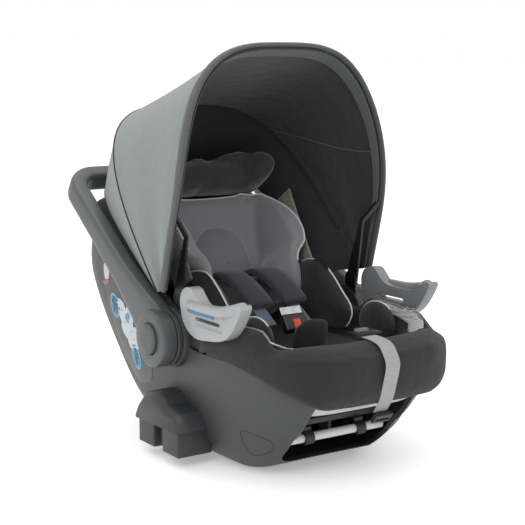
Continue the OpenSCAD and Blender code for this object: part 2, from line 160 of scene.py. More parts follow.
def bumpFrom(tree, shader, height, strength, distance):
    bump = addNode(tree, "ShaderNodeBump", {"Strength": strength, "Distance": distance}, {"Height": height})
    tree.links.new(bump.outputs["Normal"], shader.inputs["Normal"])
    return bump


def plastic(name, color, rough, grain=0.35, bright=None):
    # moulded plastic: spark grain of about 0.6 mm and faint smears in the gloss
    material, tree, shader = newMaterial(name, color, rough)
    vector = scaledPlace(tree, 1000)
    fine = addNode(tree, "ShaderNodeTexNoise", {"Scale": 1.6, "Detail": 3}, {"Vector": vector})
    broad = addNode(tree, "ShaderNodeTexNoise", {"Scale": 0.02, "Detail": 2}, {"Vector": vector})
    bumpFrom(tree, shader, fine.outputs["Fac"], grain, 0.00012)
    smear = addNode(tree, "ShaderNodeMapRange", {"To Min": rough - 0.05, "To Max": rough + 0.07},
                    {"Value": broad.outputs["Fac"]})
    tree.links.new(smear.outputs["Result"], shader.inputs["Roughness"])
    if bright:
        colorFrom(tree, shader, fine.outputs["Fac"], color, bright)
    return material


def cloth(name, dark, bright, thread=0.9, bump=0.5, sheen=0.3, rough=0.85, fleck=1.1):
    # woven cloth: threads crossing at thread millimetres, flecks of two yarn colours, soft sheen
    material, tree, shader = newMaterial(name, dark, rough, {"Sheen Weight": sheen, "Sheen Roughness": 0.5})
    vector = scaledPlace(tree, 1000)
    flecks = addNode(tree, "ShaderNodeTexNoise", {"Scale": 1 / fleck, "Detail": 2}, {"Vector": vector})
    colorFrom(tree, shader, flecks.outputs["Fac"], dark, bright)
    waves = []
    for axis in ("X", "Y", "Z"):
        wave = addNode(tree, "ShaderNodeTexWave",
                       {"Scale": 0.32 / thread, "Distortion": 1.2, "bands_direction": axis},
                       {"Vector": vector})
        waves.append(wave.outputs["Fac"])
    first = addNode(tree, "ShaderNodeMath", {"operation": "ADD"})
    tree.links.new(waves[0], first.inputs[0])
    tree.links.new(waves[1], first.inputs[1])
    total = addNode(tree, "ShaderNodeMath", {"operation": "ADD"})
    tree.links.new(first.outputs[0], total.inputs[0])
    tree.links.new(waves[2], total.inputs[1])
    soft = addNode(tree, "ShaderNodeTexNoise", {"Scale": 0.05, "Detail": 2}, {"Vector": vector})
    weave = bumpFrom(tree, shader, total.outputs[0], bump, 0.00016)
    folds = addNode(tree, "ShaderNodeBump", {"Strength": 0.35, "Distance": 0.004},
                    {"Height": soft.outputs["Fac"]})
    tree.links.new(folds.outputs["Normal"], weave.inputs["Normal"])
    return material


def spacerMesh(name, color, hole):
    # three-dimensional mesh: round holes at 3 mm
    material, tree, shader = newMaterial(name, color, 0.8, {"Sheen Weight": 0.2})
    vector = scaledPlace(tree, 1000)
    cells = addNode(tree, "ShaderNodeTexVoronoi", {"Scale": 0.36, "Randomness": 0.15}, {"Vector": vector})
    colorFrom(tree, shader, cells.outputs["Distance"], hole, color, 0.22, 0.4)
    bumpFrom(tree, shader, cells.outputs["Distance"], 0.8, 0.0012)
    return material


def metal(name, color, rough):
    material, tree, shader = newMaterial(name, color, rough, {"Metallic": 1.0})
    vector = scaledPlace(tree, 1000)
    brushed = addNode(tree, "ShaderNodeTexNoise", {"Scale": 2.2, "Detail": 4}, {"Vector": vector})
    bumpFrom(tree, shader, brushed.outputs["Fac"], 0.2, 0.00008)
    return material


materials = {
    "shell": plastic("moulded_shell", "#3b3c3e", 0.5, 0.5, "#414243"),        # dark grey, fine spark grain
    # mid grey, its edges catch the light
    "handle": plastic("satin_handle", "#515354", 0.4, 0.2, "#565859"),
    "button": plastic("handle_button", "#4c4e4f", 0.42, 0.2, "#505253"),
    "adapter": plastic("adapter_block", "#303133", 0.46, 0.4, "#343537"),     # darker than the shell
    "blackPlastic": plastic("black_plastic", "#161719", 0.4, 0.2),
    "silver": plastic("satin_silver", "#a9abac", 0.3, 0.08, "#adafb0"),       # painted belt guides
    # the same satin silver made darker: painted shade for the right belt guide, which faces away from the key
    # lamp; the adjuster button takes it too
    "darkSilver": plastic("shaded_silver", "#8d8f91", 0.32, 0.08),
    "blue": plastic("blue_inlay", "#47759b", 0.35, 0.05),                     # belt path mark
    "red": plastic("red_button", "#e2410f", 0.3, 0.05),                       # the only bright spot
    "white": plastic("white_coat", "#e6e7e8", 0.35, 0.1),                     # powder coated base bars
    "chrome": metal("bright_steel", "#c9cbcc", 0.25),
    "leather": plastic("grip_leather", "#2b2c2e", 0.55, 0.8, "#333436"),
    "rubber": plastic("foot_rubber", "#1b1c1d", 0.8, 0.4),
    "foam": plastic("foam_beads", "#cfcfcb", 0.8, 0.9),
    # greenish grey outer cloth
    "hood": cloth("hood_melange", "#747d7b", "#87908e", 0.7, 0.5, 0.25, 0.8, 0.8),
    "hem": cloth("hem_binding", "#4f5152", "#595b5c", 0.6, 0.4, 0.15),         # edge roll of the hood
    "hemInner": cloth("hem_lining", "#515456", "#5b5e60", 0.6, 0.4, 0.2),
    "lining": cloth("hood_lining", "#1b1b1c", "#262627", 0.6, 0.4, 0.25),     # near black walls
    "liningRear": cloth("hood_lining_rear", "#232325", "#2d2d30", 0.6, 0.4, 0.35),
    "piping": cloth("black_piping", "#0e0f10", "#16181a", 0.5, 0.3, 0.15),
    "greyPiping": cloth("grey_piping", "#6d6f70", "#8b8d8e", 0.5, 0.3, 0.3),
    "whitePiping": cloth("white_piping", "#cfcfcd", "#f0f0ee", 0.5, 0.3, 0.2),  # bright rim lines on the pads
    "cover": cloth("black_melange", "#0b0b0c", "#2a2a2b", 0.7, 0.7, 0.1, 0.9, 0.55),  # black with grey flecks
    "coverSeam": cloth("seam_thread", "#0a0a0b", "#131314", 0.5, 0.3, 0.1),
    # soft sheen, the brightest cloth
    "insert": cloth("grey_jersey", "#85858a", "#94949a", 0.5, 0.3, 0.55, 0.75, 0.9),
    "centrePad": cloth("grey_jersey_pad", "#76767d", "#84848c", 0.5, 0.3, 0.55, 0.75, 0.9),
    "headrest": cloth("charcoal_jersey", "#2a2a2c", "#36363a", 0.5, 0.3, 0.6, 0.75, 0.9),
    "bolster": cloth("bolster_jersey", "#121113", "#1b191c", 0.5, 0.3, 0.2, 0.7, 0.9),
    "plum": cloth("plum_pad", "#221f2a", "#2f2c37", 0.5, 0.3, 0.25, 0.75, 0.9),
    "crotch": cloth("crotch_cloth", "#0d0d0f", "#161618", 0.6, 0.5, 0.15),
    "blueWeb": cloth("harness_webbing", "#4c6077", "#65798f", 0.8, 0.9, 0.2),
    "greyWeb": cloth("adjuster_webbing", "#9fa09f", "#b5b6b5", 0.8, 0.9, 0.2),
    "whiteMesh": spacerMesh("white_spacer_mesh", "#c9cac4", "#4c4d49"),
    "oliveMesh": spacerMesh("olive_spacer_mesh", "#8e8f80", "#2b2b24"),
    "tab": cloth("fabric_tab", "#101112", "#1a1b1c", 0.5, 0.3, 0.1),
    "labelBlack": plastic("label_film", "#101113", 0.28, 0.05),
    "labelWhite": plastic("label_white", "#c8d0d4", 0.35, 0.05),
    "labelBlue": plastic("label_blue", "#3e9cc4", 0.35, 0.05),
    "labelRed": plastic("label_red", "#a5504a", 0.35, 0.05),
}
print("materials", len(materials))

# ---- numbers and curves ----


def clamp01(t):
    return max(0.0, min(1.0, t))


def ease(t):
    t = clamp01(t)
    return t * t * (3 - 2 * t)


def mix(a, b, t):
    return a + (b - a) * t


def mixPoint(a, b, t):
    return tuple(mix(p, q, t) for p, q in zip(a, b))


def power(v, n):
    return math.copysign(abs(v) ** n, v)


def curveAt(table, t):
    # smooth curve through a table of (t, value) rows
    if t <= table[0][0]:
        return table[0][1]
    for i in range(len(table) - 1):
        if t <= table[i + 1][0]:
            (t1, v1), (t2, v2) = table[i], table[i + 1]
            t0, v0 = table[max(0, i - 1)]
            t3, v3 = table[min(len(table) - 1, i + 2)]
            h = t2 - t1
            m1 = (v2 - v0) / (t2 - t0) * h
            m2 = (v3 - v1) / (t3 - t1) * h
            f = (t - t1) / h
            return ((2 * f**3 - 3 * f * f + 1) * v1 + (f**3 - 2 * f * f + f) * m1
                    + (3 * f * f - 2 * f**3) * v2 + (f**3 - f * f) * m2)
    return table[-1][1]


def smoothPath(points, steps, closed=False):
    # points of a smooth curve through the given ones
    n = len(points)
    result = []
    for i in range(n if closed else n - 1):
        p = [points[(i + k) % n] if closed else points[max(0, min(n - 1, i + k))] for k in (-1, 0, 1, 2)]
        for s in range(steps):
            f = s / steps
            result.append(tuple(0.5 * (2 * b + (c - a) * f + (2 * a - 5 * b + 4 * c - d) * f * f
                                       + (3 * b - a - 3 * c + d) * f**3)
                                for a, b, c, d in zip(*p)))
    if not closed:
        result.append(tuple(points[-1]))
    return result


# ---- mesh helpers ----


def addMesh(name, points, faces, material, body="seat", sharp=None):
    mesh = bpy.data.meshes.new(name)
    mesh.from_pydata([place(p) for p in points], [], faces)
    work = bmesh.new()
    work.from_mesh(mesh)
    bmesh.ops.recalc_face_normals(work, faces=work.faces)
    work.to_mesh(mesh)
    work.free()
    mesh.materials.append(materials[material])
    obj = bpy.data.objects.new(name, mesh)
    scene.collection.objects.link(obj)
    finishShading(obj, sharp)
    if body:
        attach(obj, body)
    return obj


def finishShading(obj, sharp=None):
    for face in obj.data.polygons:
        face.use_smooth = True
    if sharp:
        obj.data.set_sharp_from_angle(angle=math.radians(sharp))


def applied(obj, kind, **settings):
    # adds a modifier and keeps its result as the mesh
    modifier = obj.modifiers.new("shape", kind)
    for key, value in settings.items():
        setattr(modifier, key, value)
    graph = bpy.context.evaluated_depsgraph_get()
    mesh = bpy.data.meshes.new_from_object(obj.evaluated_get(graph))
    obj.modifiers.clear()
    obj.data = mesh
    return obj


def cut(obj, *cutters):
    for cutter in cutters:
        applied(obj, "BOOLEAN", operation="DIFFERENCE", solver="EXACT", object=cutter)
        bpy.data.objects.remove(cutter)
    return obj


def loft(name, rings, material, body="seat", caps=True, closed=True, sharp=None):
    # skin through a stack of rings with the same number of points
    n = len(rings[0])
    points = [p for ring in rings for p in ring]
    faces = []
    for j in range(len(rings) - 1):
        for i in range(n if closed else n - 1):
            a, b = j * n + i, j * n + (i + 1) % n
            faces.append((a, b, b + n, a + n))
    if caps:
        for first in (0, (len(rings) - 1) * n):
            ring = points[first:first + n]
            points.append(tuple(sum(p[k] for p in ring) / n for k in range(3)))
            faces += [(len(points) - 1, first + i, first + (i + 1) % n) for i in range(n)]
    return addMesh(name, points, faces, material, body, sharp)


def sheetFrom(name, at, across, along, thick, material, body="seat"):
    # cloth through at(u, v), u and v from 0 to 1, with a little thickness
    rows = [[at(i / across, j / along) for i in range(across + 1)] for j in range(along + 1)]
    obj = loft(name, rows, material, body, caps=False, closed=False)
    return applied(obj, "SOLIDIFY", thickness=thick * 0.001, offset=0)


def frames(path, up=None):
    # a direction, a side and an up vector at each point of a path, turning as little as possible
    result = []
    last = None
    for i in range(len(path)):
        a, b = Vector(path[max(0, i - 1)]), Vector(path[min(len(path) - 1, i + 1)])
        ahead = (b - a).normalized()
        if up:
            lift = Vector(up[i] if isinstance(up, list) else up)
        else:
            lift = last or (Vector((0, 0, 1)) if abs(ahead.z) < 0.9 else Vector((0, 1, 0)))
        lift = (lift - ahead * lift.dot(ahead)).normalized()
        last = lift
        result.append((ahead, ahead.cross(lift), lift))
    return result


def sweep(name, path, section, material, body="seat", up=None, caps=True):
    rings = []
    for i, (p, (ahead, side, lift)) in enumerate(zip(path, frames(path, up))):
        shape = section(i / (len(path) - 1)) if callable(section) else section
        rings.append([tuple(Vector(p) + side * q[0] + lift * q[1]) for q in shape])
    return loft(name, rings, material, body, caps)


def roundSection(r, n=10):
    return [(r * math.cos(2 * math.pi * i / n), r * math.sin(2 * math.pi * i / n)) for i in range(n)]


def boxSection(w, t, square=4.0, n=24):
    return [(w / 2 * power(math.cos(a), 2 / square), t / 2 * power(math.sin(a), 2 / square))
            for a in [2 * math.pi * (i + 0.5) / n for i in range(n)]]


def tube(name, path, r, material, body="seat"):
    return sweep(name, path, roundSection(r), material, body)


def lathe(name, profile, center, material, body="seat", side=1, sharp=30, n=72):
    # profile of (X, radius) rows turned about a line along X
    rings = []
    for x, r in profile:
        rings.append([(side * x, center[0] + r * math.cos(2 * math.pi * i / n),
                       center[1] + r * math.sin(2 * math.pi * i / n)) for i in range(n)])
    return loft(name, rings, material, body, True, True, sharp)


def block(name, low, high, r, material, body="seat", turn=None):
    # box with rounded edges; turn moves its corners, for a box that leans
    points = [(x, y, z) for x in (low[0], high[0]) for y in (low[1], high[1]) for z in (low[2], high[2])]
    if turn:
        points = [turn(p) for p in points]
    faces = [(0, 1, 3, 2), (4, 6, 7, 5), (0, 4, 5, 1), (2, 3, 7, 6), (0, 2, 6, 4), (1, 5, 7, 3)]
    obj = addMesh(name, points, faces, material, body)
    if r > 0:
        applied(obj, "BEVEL", width=r * 0.001, segments=4)
    finishShading(obj, 50)
    return obj


def plate(name, outline, x0, x1, r, material, body="seat", cutters=()):
    # outline of (Y, Z) points made thick along X, its edges rounded by r
    n = len(outline)
    points = [(x0, y, z) for y, z in outline] + [(x1, y, z) for y, z in outline]
    faces = [tuple(range(n)), tuple(range(2 * n - 1, n - 1, -1))]
    faces += [(i, (i + 1) % n, (i + 1) % n + n, i + n) for i in range(n)]
    obj = addMesh(name, points, faces, material, body)
    cut(obj, *cutters)
    if r > 0:
        applied(obj, "BEVEL", width=r * 0.001, segments=4, limit_method="ANGLE", angle_limit=math.radians(50))
    finishShading(obj, 40)
    return obj


def surfaceOf(obj):
    return BVHTree.FromObject(obj, bpy.context.evaluated_depsgraph_get())


def snapped(tree, p, lift):
    # nearest point of a surface, raised by lift millimetres, still in millimetres
    spot, normal, _, _ = tree.find_nearest(place(p))
    spot = spot + normal * (lift * 0.001)
    return (spot.x * 1000, (spot.y - hinge.y) * 1000, spot.z * 1000)


def thrown(tree, y, z, side, lift):
    # point of a surface met from the side at a given Y and Z, raised by lift
    spot, normal, _, _ = tree.ray_cast(place((side * 400, y, z)), Vector((-side, 0, 0)))
    if spot is None:
        return (side * 170, y, z)
    spot = spot + normal * (lift * 0.001)
    return (spot.x * 1000, (spot.y - hinge.y) * 1000, spot.z * 1000)


def stitches(name, path, length, gap, r, material, body="seat"):
    # a dashed line of thread, as one mesh of short rods
    points, faces = [], []
    walked = 0.0
    for a, b in zip(path, path[1:]):
        step = (Vector(b) - Vector(a)).length
        while walked < step:
            start = Vector(a).lerp(Vector(b), walked / step)
            ahead = (Vector(b) - Vector(a)).normalized()
            side = ahead.orthogonal().normalized()
            lift = ahead.cross(side)
            base = len(points)
            for end in (0, length):
                for s, t in ((1, 0), (0, 1), (-1, 0), (0, -1)):
                    points.append(tuple(start + ahead * end + side * s * r + lift * t * r))
            faces += [tuple(base + k for k in quad) for quad in
                      ((0, 1, 2, 3), (7, 6, 5, 4), (0, 4, 5, 1), (1, 5, 6, 2), (2, 6, 7, 3), (3, 7, 4, 0))]
            walked += length + gap
        walked -= step
    return addMesh(name, points, faces, material, body)


puffing = {
    "voxel": 5.0,       # size of the remeshed cloth, mm
    "pressure": 4.0,
    "frames": 20,
}


def puff(obj, cap, held=None, sag=0.0):
    # blows a closed form up as cloth, no point moving more than cap millimetres
    applied(obj, "REMESH", mode="VOXEL", voxel_size=puffing["voxel"] * 0.001)
    rest = [v.co.copy() for v in obj.data.vertices]
    modifier = obj.modifiers.new("cloth", "CLOTH")
    settings = modifier.settings
    settings.use_pressure = True
    settings.uniform_pressure_force = puffing["pressure"]
    settings.quality = 5
    settings.tension_stiffness = 12
    settings.compression_stiffness = 12
    settings.effector_weights.gravity = 0
    modifier.collision_settings.use_collision = False
    if held:
        group = obj.vertex_groups.new(name="held")
        group.add([v.index for v in obj.data.vertices if held(v.co)], 1.0, "REPLACE")
        settings.vertex_group_mass = "held"
    modifier.point_cache.frame_end = puffing["frames"]
    for f in range(1, puffing["frames"] + 1):
        scene.frame_set(f)
    graph = bpy.context.evaluated_depsgraph_get()
    moved = [v.co.copy() for v in obj.evaluated_get(graph).data.vertices]
    obj.modifiers.clear()
    scene.frame_set(1)
    for vertex, before, after in zip(obj.data.vertices, rest, moved):
        step = after - before
        limit = cap * 0.001
        if step.length > limit:
            step = step * (limit / step.length)
        vertex.co = before + step
    applied(obj, "SMOOTH", factor=0.5, iterations=4)
    applied(obj, "SUBSURF", levels=1)
    finishShading(obj)
    print("padded", obj.name, len(obj.data.vertices))
    return obj


# ---- tub ----

tub = {
    "halfWidth": [(0, 108), (0.09, 131), (0.235, 149), (0.48, 163), (0.73, 169), (1, 171)],
    "front": [(0, 204), (0.04, 218), (0.21, 249), (0.47, 276), (0.7, 298), (1, 312)],
    "back": [(0, 150), (0.05, 176), (0.12, 204), (0.2, 228), (0.37, 270), (0.55, 322), (0.7, 350),
             (0.85, 340), (1, 312)],
    "around": 144,
    "wall": 6.5,
}


def outline(halfWidth, front, back, square, around):
    ring = []
    for i in range(around):
        a = 2 * math.pi * i / around
        n = square if math.sin(a) > 0 else 4
        reach = back if math.sin(a) > 0 else front
        ring.append((halfWidth * power(math.cos(a), 2 / n), reach * power(math.sin(a), 2 / n)))
    return ring


def rockZ(y):
    return 2 + 46 * clamp01((-y - 80) / 124) ** 2.2 + 8 * clamp01((y - 100) / 50) ** 2


def rimZ(y):
    return 186 + 194 * ease((y + 70) / 420)


def tubRing(t, inset):
    ring = []
    w, f, b = (curveAt(tub[k], t) - inset for k in ("halfWidth", "front", "back"))
    for x, y in outline(w, f, b, 5 + 3 * t, tub["around"]):
        ring.append((x, y, mix(rockZ(y * 0.9) + inset * (1 - t), rimZ(y), t)))
    return ring


def floorRing(s, inset):
    w, f, b = (tub[k][0][1] - inset for k in ("halfWidth", "front", "back"))
    return [(x * s, y * s, rockZ(y * s * 0.9) + inset) for x, y in outline(w, f, b, 5, tub["around"])]


steps = [0, 0.012, 0.03, 0.05, 0.08] + [0.12 + 0.04 * i for i in range(23)]
floors = [0.15, 0.4, 0.7, 0.9, 0.97]
outer = [floorRing(s, 0) for s in floors] + [tubRing(t, 0) for t in steps]
inner = [floorRing(s, tub["wall"]) for s in floors] + [tubRing(t, tub["wall"]) for t in steps]
shell = loft("tub_shell", outer + inner[::-1], "shell")
opening = block("cutter", (-97, -420, 26), (97, -160, 148), 16, "shell", None)
slot = block("cutter2", (-70, 205, 40), (70, 300, 90), 8, "shell", None)
cut(shell, opening, slot)
finishShading(shell, 38)
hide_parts("outer_shell")
shellSurface = surfaceOf(shell)
print("tub")

# thin line that marks a snap-in cover low on each side
for side in (-1, 1):
    corner = [(-163, 42), (-164, 74), (-176, 82), (-208, 70), (-197, 50), (-172, 38)]
    path = smoothPath([(0, y, z) for y, z in corner], 6, True)
    path.append(path[0])
    tube("cap_line_%s" % ("left" if side < 0 else "right"),
         [thrown(shellSurface, p[1], p[2], side, -0.1) for p in path], 0.7, "blackPlastic")

# rubber feet stay as in the CAD model, with their own material
for name in ("floor_pads",):
    frame["nodes"][name].data.materials[0] = materials["rubber"]

# ---- handle ----

handle = {
    "angle": 35, "arm": 190, "reach": 392, "corner": 42, "width": 30,
    "depth": [(0, 88), (40, 82), (70, 70), (110, 57), (150, 48), (200, 43), (260, 40), (420, 38)],
}


def inHandle(x, r, d):
    a = math.radians(handle["angle"])
    return (x, r * math.cos(a) - d * math.sin(a), 199 + r * math.sin(a) + d * math.cos(a))


armPath = [(-handle["arm"], r) for r in range(8, 350, 9)]
cornerPath = [(-handle["arm"] + handle["corner"] * (1 + math.cos(math.radians(a))),
               handle["reach"] - handle["corner"] * (1 - math.sin(math.radians(a))))
               for a in range(180, 89, -5)]
half = armPath + cornerPath + [(x, handle["reach"]) for x in (-96, -80, -60, -40, -20)]
whole = half + [(0, handle["reach"])] + [(-x, r) for x, r in half[::-1]]
rings = []
for i, (x, r) in enumerate(whole):
    (xa, ra), (xb, rb) = whole[max(0, i - 1)], whole[min(len(whole) - 1, i + 1)]
    length = math.hypot(xb - xa, rb - ra)
    tx, tr = (xb - xa) / length, (rb - ra) / length
    section = boxSection(handle["width"], curveAt(handle["depth"], r), 4.2, 40)
    rings.append([inHandle(x + tr * q, r - tx * q, d) for q, d in section])
handleArch = loft("handle_arch_shape", rings, "handle", "handle")
for side in (-1, 1):
    tag = "left" if side < 0 else "right"
    lathe("hub_disc_" + tag, [(189, 12), (189, 43), (190, 45.2), (192, 46), (209, 46), (212.6, 45),
                              (214.4, 42.5), (215, 39),
                              (215, 26.2), (213.6, 25.6), (205, 25.5), (205, 12)], (0, 199), "handle",
                              "handle", side)
    lathe("hub_ring_inner_" + tag, [(181, 10), (181, 46), (182, 47.4), (187.2, 47.4), (188.4, 46),
                                    (188.4, 10)],
          (0, 199), "shell", "handle", side)
    lathe("hub_ring_seat_" + tag, [(166, 10), (166, 50), (176, 50), (179, 49), (180.4, 46), (180.4, 10)],
          (0, 199), "shell", "seat", side)
    lathe("button_" + tag, [(206, 6), (211, 24.6), (218.6, 24.9), (219.9, 24.2), (220.6, 22.6), (221, 16),
                            (221, 2)],
          (0, 199), "button", "button_" + tag, side)
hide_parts("handle_arch")
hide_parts("hub_housings")
for tag in ("left", "right"):
    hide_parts("handle_button_" + tag)
grip = []
for i in range(31):
    x = -75 + 5 * i
    swell = 1 - 0.10 * clamp01((abs(x) - 66) / 9) ** 2
    grip.append([inHandle(x, handle["reach"] + q * swell, d * swell) for q,
                 d in boxSection(35.5, 43.2, 3.2, 40)])
gripShape = loft("grip_sleeve", grip, "leather", "handle")
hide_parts("handle_grip")
seam = [inHandle(-72 + 4 * i, handle["reach"] - 17.6, 0) for i in range(37)]
stitches("grip_stitches", seam, 4, 2.4, 0.5, "greyPiping", "handle")
print("handle")

# ---- hood ----

hood = {"y": -20, "z": 262, "reach": 397, "rear": 348, "open": 106, "seam": 47, "wide": 204}


def aboveArm(y, z):
    a = math.radians(handle["angle"])
    return (z - 199) * math.cos(a) - y * math.sin(a)


def edgeAngle(r):
    return -25 if r < 52 else handle["angle"] - math.degrees(math.asin(45 / r))


def bowAngle(r):
    return hood["open"] - 10 * ease((r - 120) / 280)


def archPoint(u, reach, angleOf, inset, boxy=0.61):
    b = math.pi * mix(0.0018, 0.9982, u)
    r = (reach - inset) * power(math.sin(b), boxy)
    a = math.radians(angleOf(r))
    y, z = hood["y"] + r * math.cos(a), hood["z"] + r * math.sin(a)
    wide = mix(169, hood["wide"], ease((aboveArm(y, z) - 27) / 34))
    return (-(wide - inset) * power(math.cos(b), boxy), y, z)


def even(u):
    # spreads points evenly over an arch
    return u - 0.07 * math.sin(4 * math.pi * u) / 2


def rearEdge(u, inset=0):
    return archPoint(even(u), hood["rear"], edgeAngle, inset, 0.28)


def seamArch(u, inset=0):
    return archPoint(even(u), hood["reach"], lambda r: hood["seam"], inset)


def frontArch(u, inset=0):
    return archPoint(even(u), hood["reach"], bowAngle, inset)


def mainPanel(u, v, inset=0):
    # cloth pulled between two bows: it sinks a little between them and wrinkles near the hinge
    p = mixPoint(seamArch(u, inset), frontArch(u, inset), v)
    crown = math.sin(math.pi * u)
    sink = 5 * math.sin(math.pi * v) * crown
    low = 1 - crown
    ripple = 2.4 * low * math.sin(9 * v + 3) * math.sin(math.pi * v)
    side = -1 if u < 0.5 else 1
    return (p[0] - side * (ripple + 3 * low * math.sin(math.pi * v)), p[1], p[2] - sink)


def rearPanel(u, v, inset=0):
    p = mixPoint(rearEdge(u, inset), seamArch(u, inset), v)
    bulge = 4 * math.sin(math.pi * v) * math.sin(math.pi * u)
    return (p[0], p[1] + bulge * 0.8, p[2] + bulge * 0.6)


hoodMain = sheetFrom("hood_main_cloth", lambda u, v: mainPanel(u, v * 0.985), 120, 40, 1.2, "hood", None)
hoodRear = sheetFrom("hood_rear_cloth", rearPanel, 120, 30, 1.2, "hood")
liningMain = sheetFrom("hood_lining_front", lambda u, v: mainPanel(u, v * 0.95, 3.2), 120, 40, 1.0, "lining",
                       None)
liningRear = sheetFrom("hood_lining_back", lambda u, v: rearPanel(u, v, 3.2), 120, 30, 1.0, "liningRear")
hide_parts("hood_main_panel")
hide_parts("hood_rear_panel")
around = [i / 160 for i in range(161)]
hemRoll = sweep("hood_hem_roll", [mixPoint(mainPanel(u, 0.97), frontArch(u), 0.75) for u in around],
                boxSection(15, 6.5, 2.6), "hem", "hood",
                [tuple(Vector(frontArch(u)) - Vector((0, -40, 330))) for u in around])
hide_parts("hood_hem")
hemBand = sheetFrom("hood_hem_inside", lambda u, v: mainPanel(u, 0.91 + 0.085 * v, 8.4), 120, 6, 1.0,
                    "hemInner", None)
tube("hood_back_piping", [rearPanel(u, 1.0, -0.4) for u in around], 1.7, "piping", "seat")
tube("hood_rear_binding", [rearPanel(u, 0.0, 0.6) for u in around], 2.2, "piping", "seat")
stitches("hood_hem_stitches", [mainPanel(u, 0.935, -0.8) for u in around], 3.2, 2.2, 0.4, "coverSeam", None)

rearBow = sweep("hood_rear_bow_shape", [mainPanel(mix(0.06, 0.94, u), 0.026, 5.8) for u in around],
                boxSection(9, 3, 3), "lining", "seat", (0, -0.7, 0.7))
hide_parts("hood_rear_bow")
# piping along each wall of the lining, under the roof
for side in (-1, 1):
    line = []
    for i in range(41):
        v = i / 40
        y = mix(-62, 210, v)
        target = 478 + 27 * clamp01((y - 10) / 190)
        found = min((abs(mainPanel(u, w, 3.8)[2] - target) + abs(mainPanel(u, w, 3.8)[1] - y), u, w)
                    for u in [0.5 + side * k / 120 for k in range(12, 54)]
                    for w in [j / 24 for j in range(23)])
        line.append((found[1], found[2]))
    uMiddle = [sum(p[0] for p in line[max(0, i - 4):i + 5]) / len(line[max(0, i - 4):i + 5])
               for i in range(41)]
    wMiddle = [sum(p[1] for p in line[max(0, i - 4):i + 5]) / len(line[max(0, i - 4):i + 5])
               for i in range(41)]
    tube("lining_piping_" + ("left" if side < 0 else "right"),
         [mainPanel(u, w, 4.2) for u, w in zip(uMiddle, wMiddle)], 1.1, "hemInner", None)
print("hood")

# ---- plain CAD parts that only take a material ----

cadLooks = {
    "floor_pads": "rubber", "base_bar_front": "white", "base_bar_rear": "white", "bar_clips": "blackPlastic",
    "carrier_plate": "shell", "pivot_pins": "chrome", "hood_bow": "blackPlastic",
    "hood_mounts": "blackPlastic",
    "foam_liner": "foam", "backrest_board": "blackPlastic", "headrest_plate": "blackPlastic",
    "adjuster_plate": "blackPlastic", "adjuster_button": "darkSilver", "release_lever": "red",
    "lever_axle": "chrome", "shell_screws": "chrome", "strap_keeper": "blackPlastic",
}
for name, look in cadLooks.items():
    obj = frame["nodes"][name]
    for i in range(len(obj.data.materials)):
        obj.data.materials[i] = materials[look]

# ---- seat cover ----

cover = {"roll": 28, "pan": 172, "around": 220, "rowSteps": 5, "wall": 24}


def skirtZ(y):
    f = clamp01((-y - 60) / 250)
    return 204 - 6 * ease(f * 2) - 62 * f ** 2.6


def coverRing(w, front, back, up, rise, drop, skirt, side):
    ring = []
    for x, y in outline(w, front, back, 7, cover["around"]):
        on = ease((-y - 90) / 24)
        limit = mix(side, 400, on)
        rollHere = cover["roll"] + 10 * ease((-y - 230) / 50)
        # side walls that stand up inside the belt guides
        wall = cover["wall"] * ease((-y - 50) / 40) * ease((y + 262) / 50) * ease((abs(x) - 132) / 16) * up
        top = rimZ(y) + up * rollHere + rise + wall
        low = mix(rimZ(y) + 2.6, skirtZ(y), on)
        ring.append((max(-limit, min(limit, x)), y, mix(mix(top, cover["pan"], drop), low, skirt)))
    return ring


coverTop = [
    (177.5, 318, 309, 0, 2.6, 0, 1, 166.4), (180.5, 326, 309.5, 0, 4, 0, 0.75, 166.4),
    (181.5, 329.5, 309.5, 0, 6, 0, 0.45, 166.4), (181.5, 331, 309.5, 0.1, 7, 0, 0.1, 166.4),
    (180, 329, 308, 0.42, 5, 0, 0, 166.4), (175, 321, 303, 0.75, 0, 0, 0, 166.4),
    (166, 304, 293, 0.97, 0, 0, 0, 166.4), (155, 285, 287, 1, 0, 0, 0, 166.4),
    (147, 267, 281, 0.72, 0, 0, 0, 166.4), (142, 251, 272, 0, 6, 0.25, 0, 166.4),
    (134, 226, 226, 0, 0, 0.6, 0, 166.4), (120, 190, 124, 0, 0, 0.95, 0, 166.4),
    (60, 96, 44, 0, 0, 1, 0, 166.4)]
coverUnder = [
    (174, 314.5, 306, 0, 1.2, 0, 0.96, 162.6), (174, 314.5, 306, 0, 1.4, 0, 0, 162.6),
    (160, 298, 296, 0, 1.4, 0, 0, 162.6), (141, 258, 279, 0, 5, 0, 0, 162.6),
    (136, 244, 266, 0, 0, 0.25, 0, 162.6), (128, 218, 219, 0, -5, 0.6, 0, 162.6),
    (114, 183, 117, 0, -70, 0.9, 0, 162.6), (54, 90, 38, 0, -150, 0.95, 0, 162.6)]
rows = smoothPath(coverTop[::-1], cover["rowSteps"])
seatCover = loft("seat_cover_cloth", [coverRing(*row) for row in rows] + [coverRing(*row)
                                                                          for row in coverUnder], "cover")
for vertex in seatCover.data.vertices:
    p = vertex.co * 1000
    push = noise.noise(p * 0.022) * 1.6 + noise.noise(p * 0.06) * 0.6
    if abs(p.x) > 168 or p.y < -300 or p.z > 200:
        vertex.co += vertex.normal * (push * 0.001)
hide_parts("seat_cover")
coverSurface = surfaceOf(seatCover)
print("cover")

# ---- belt guides ----

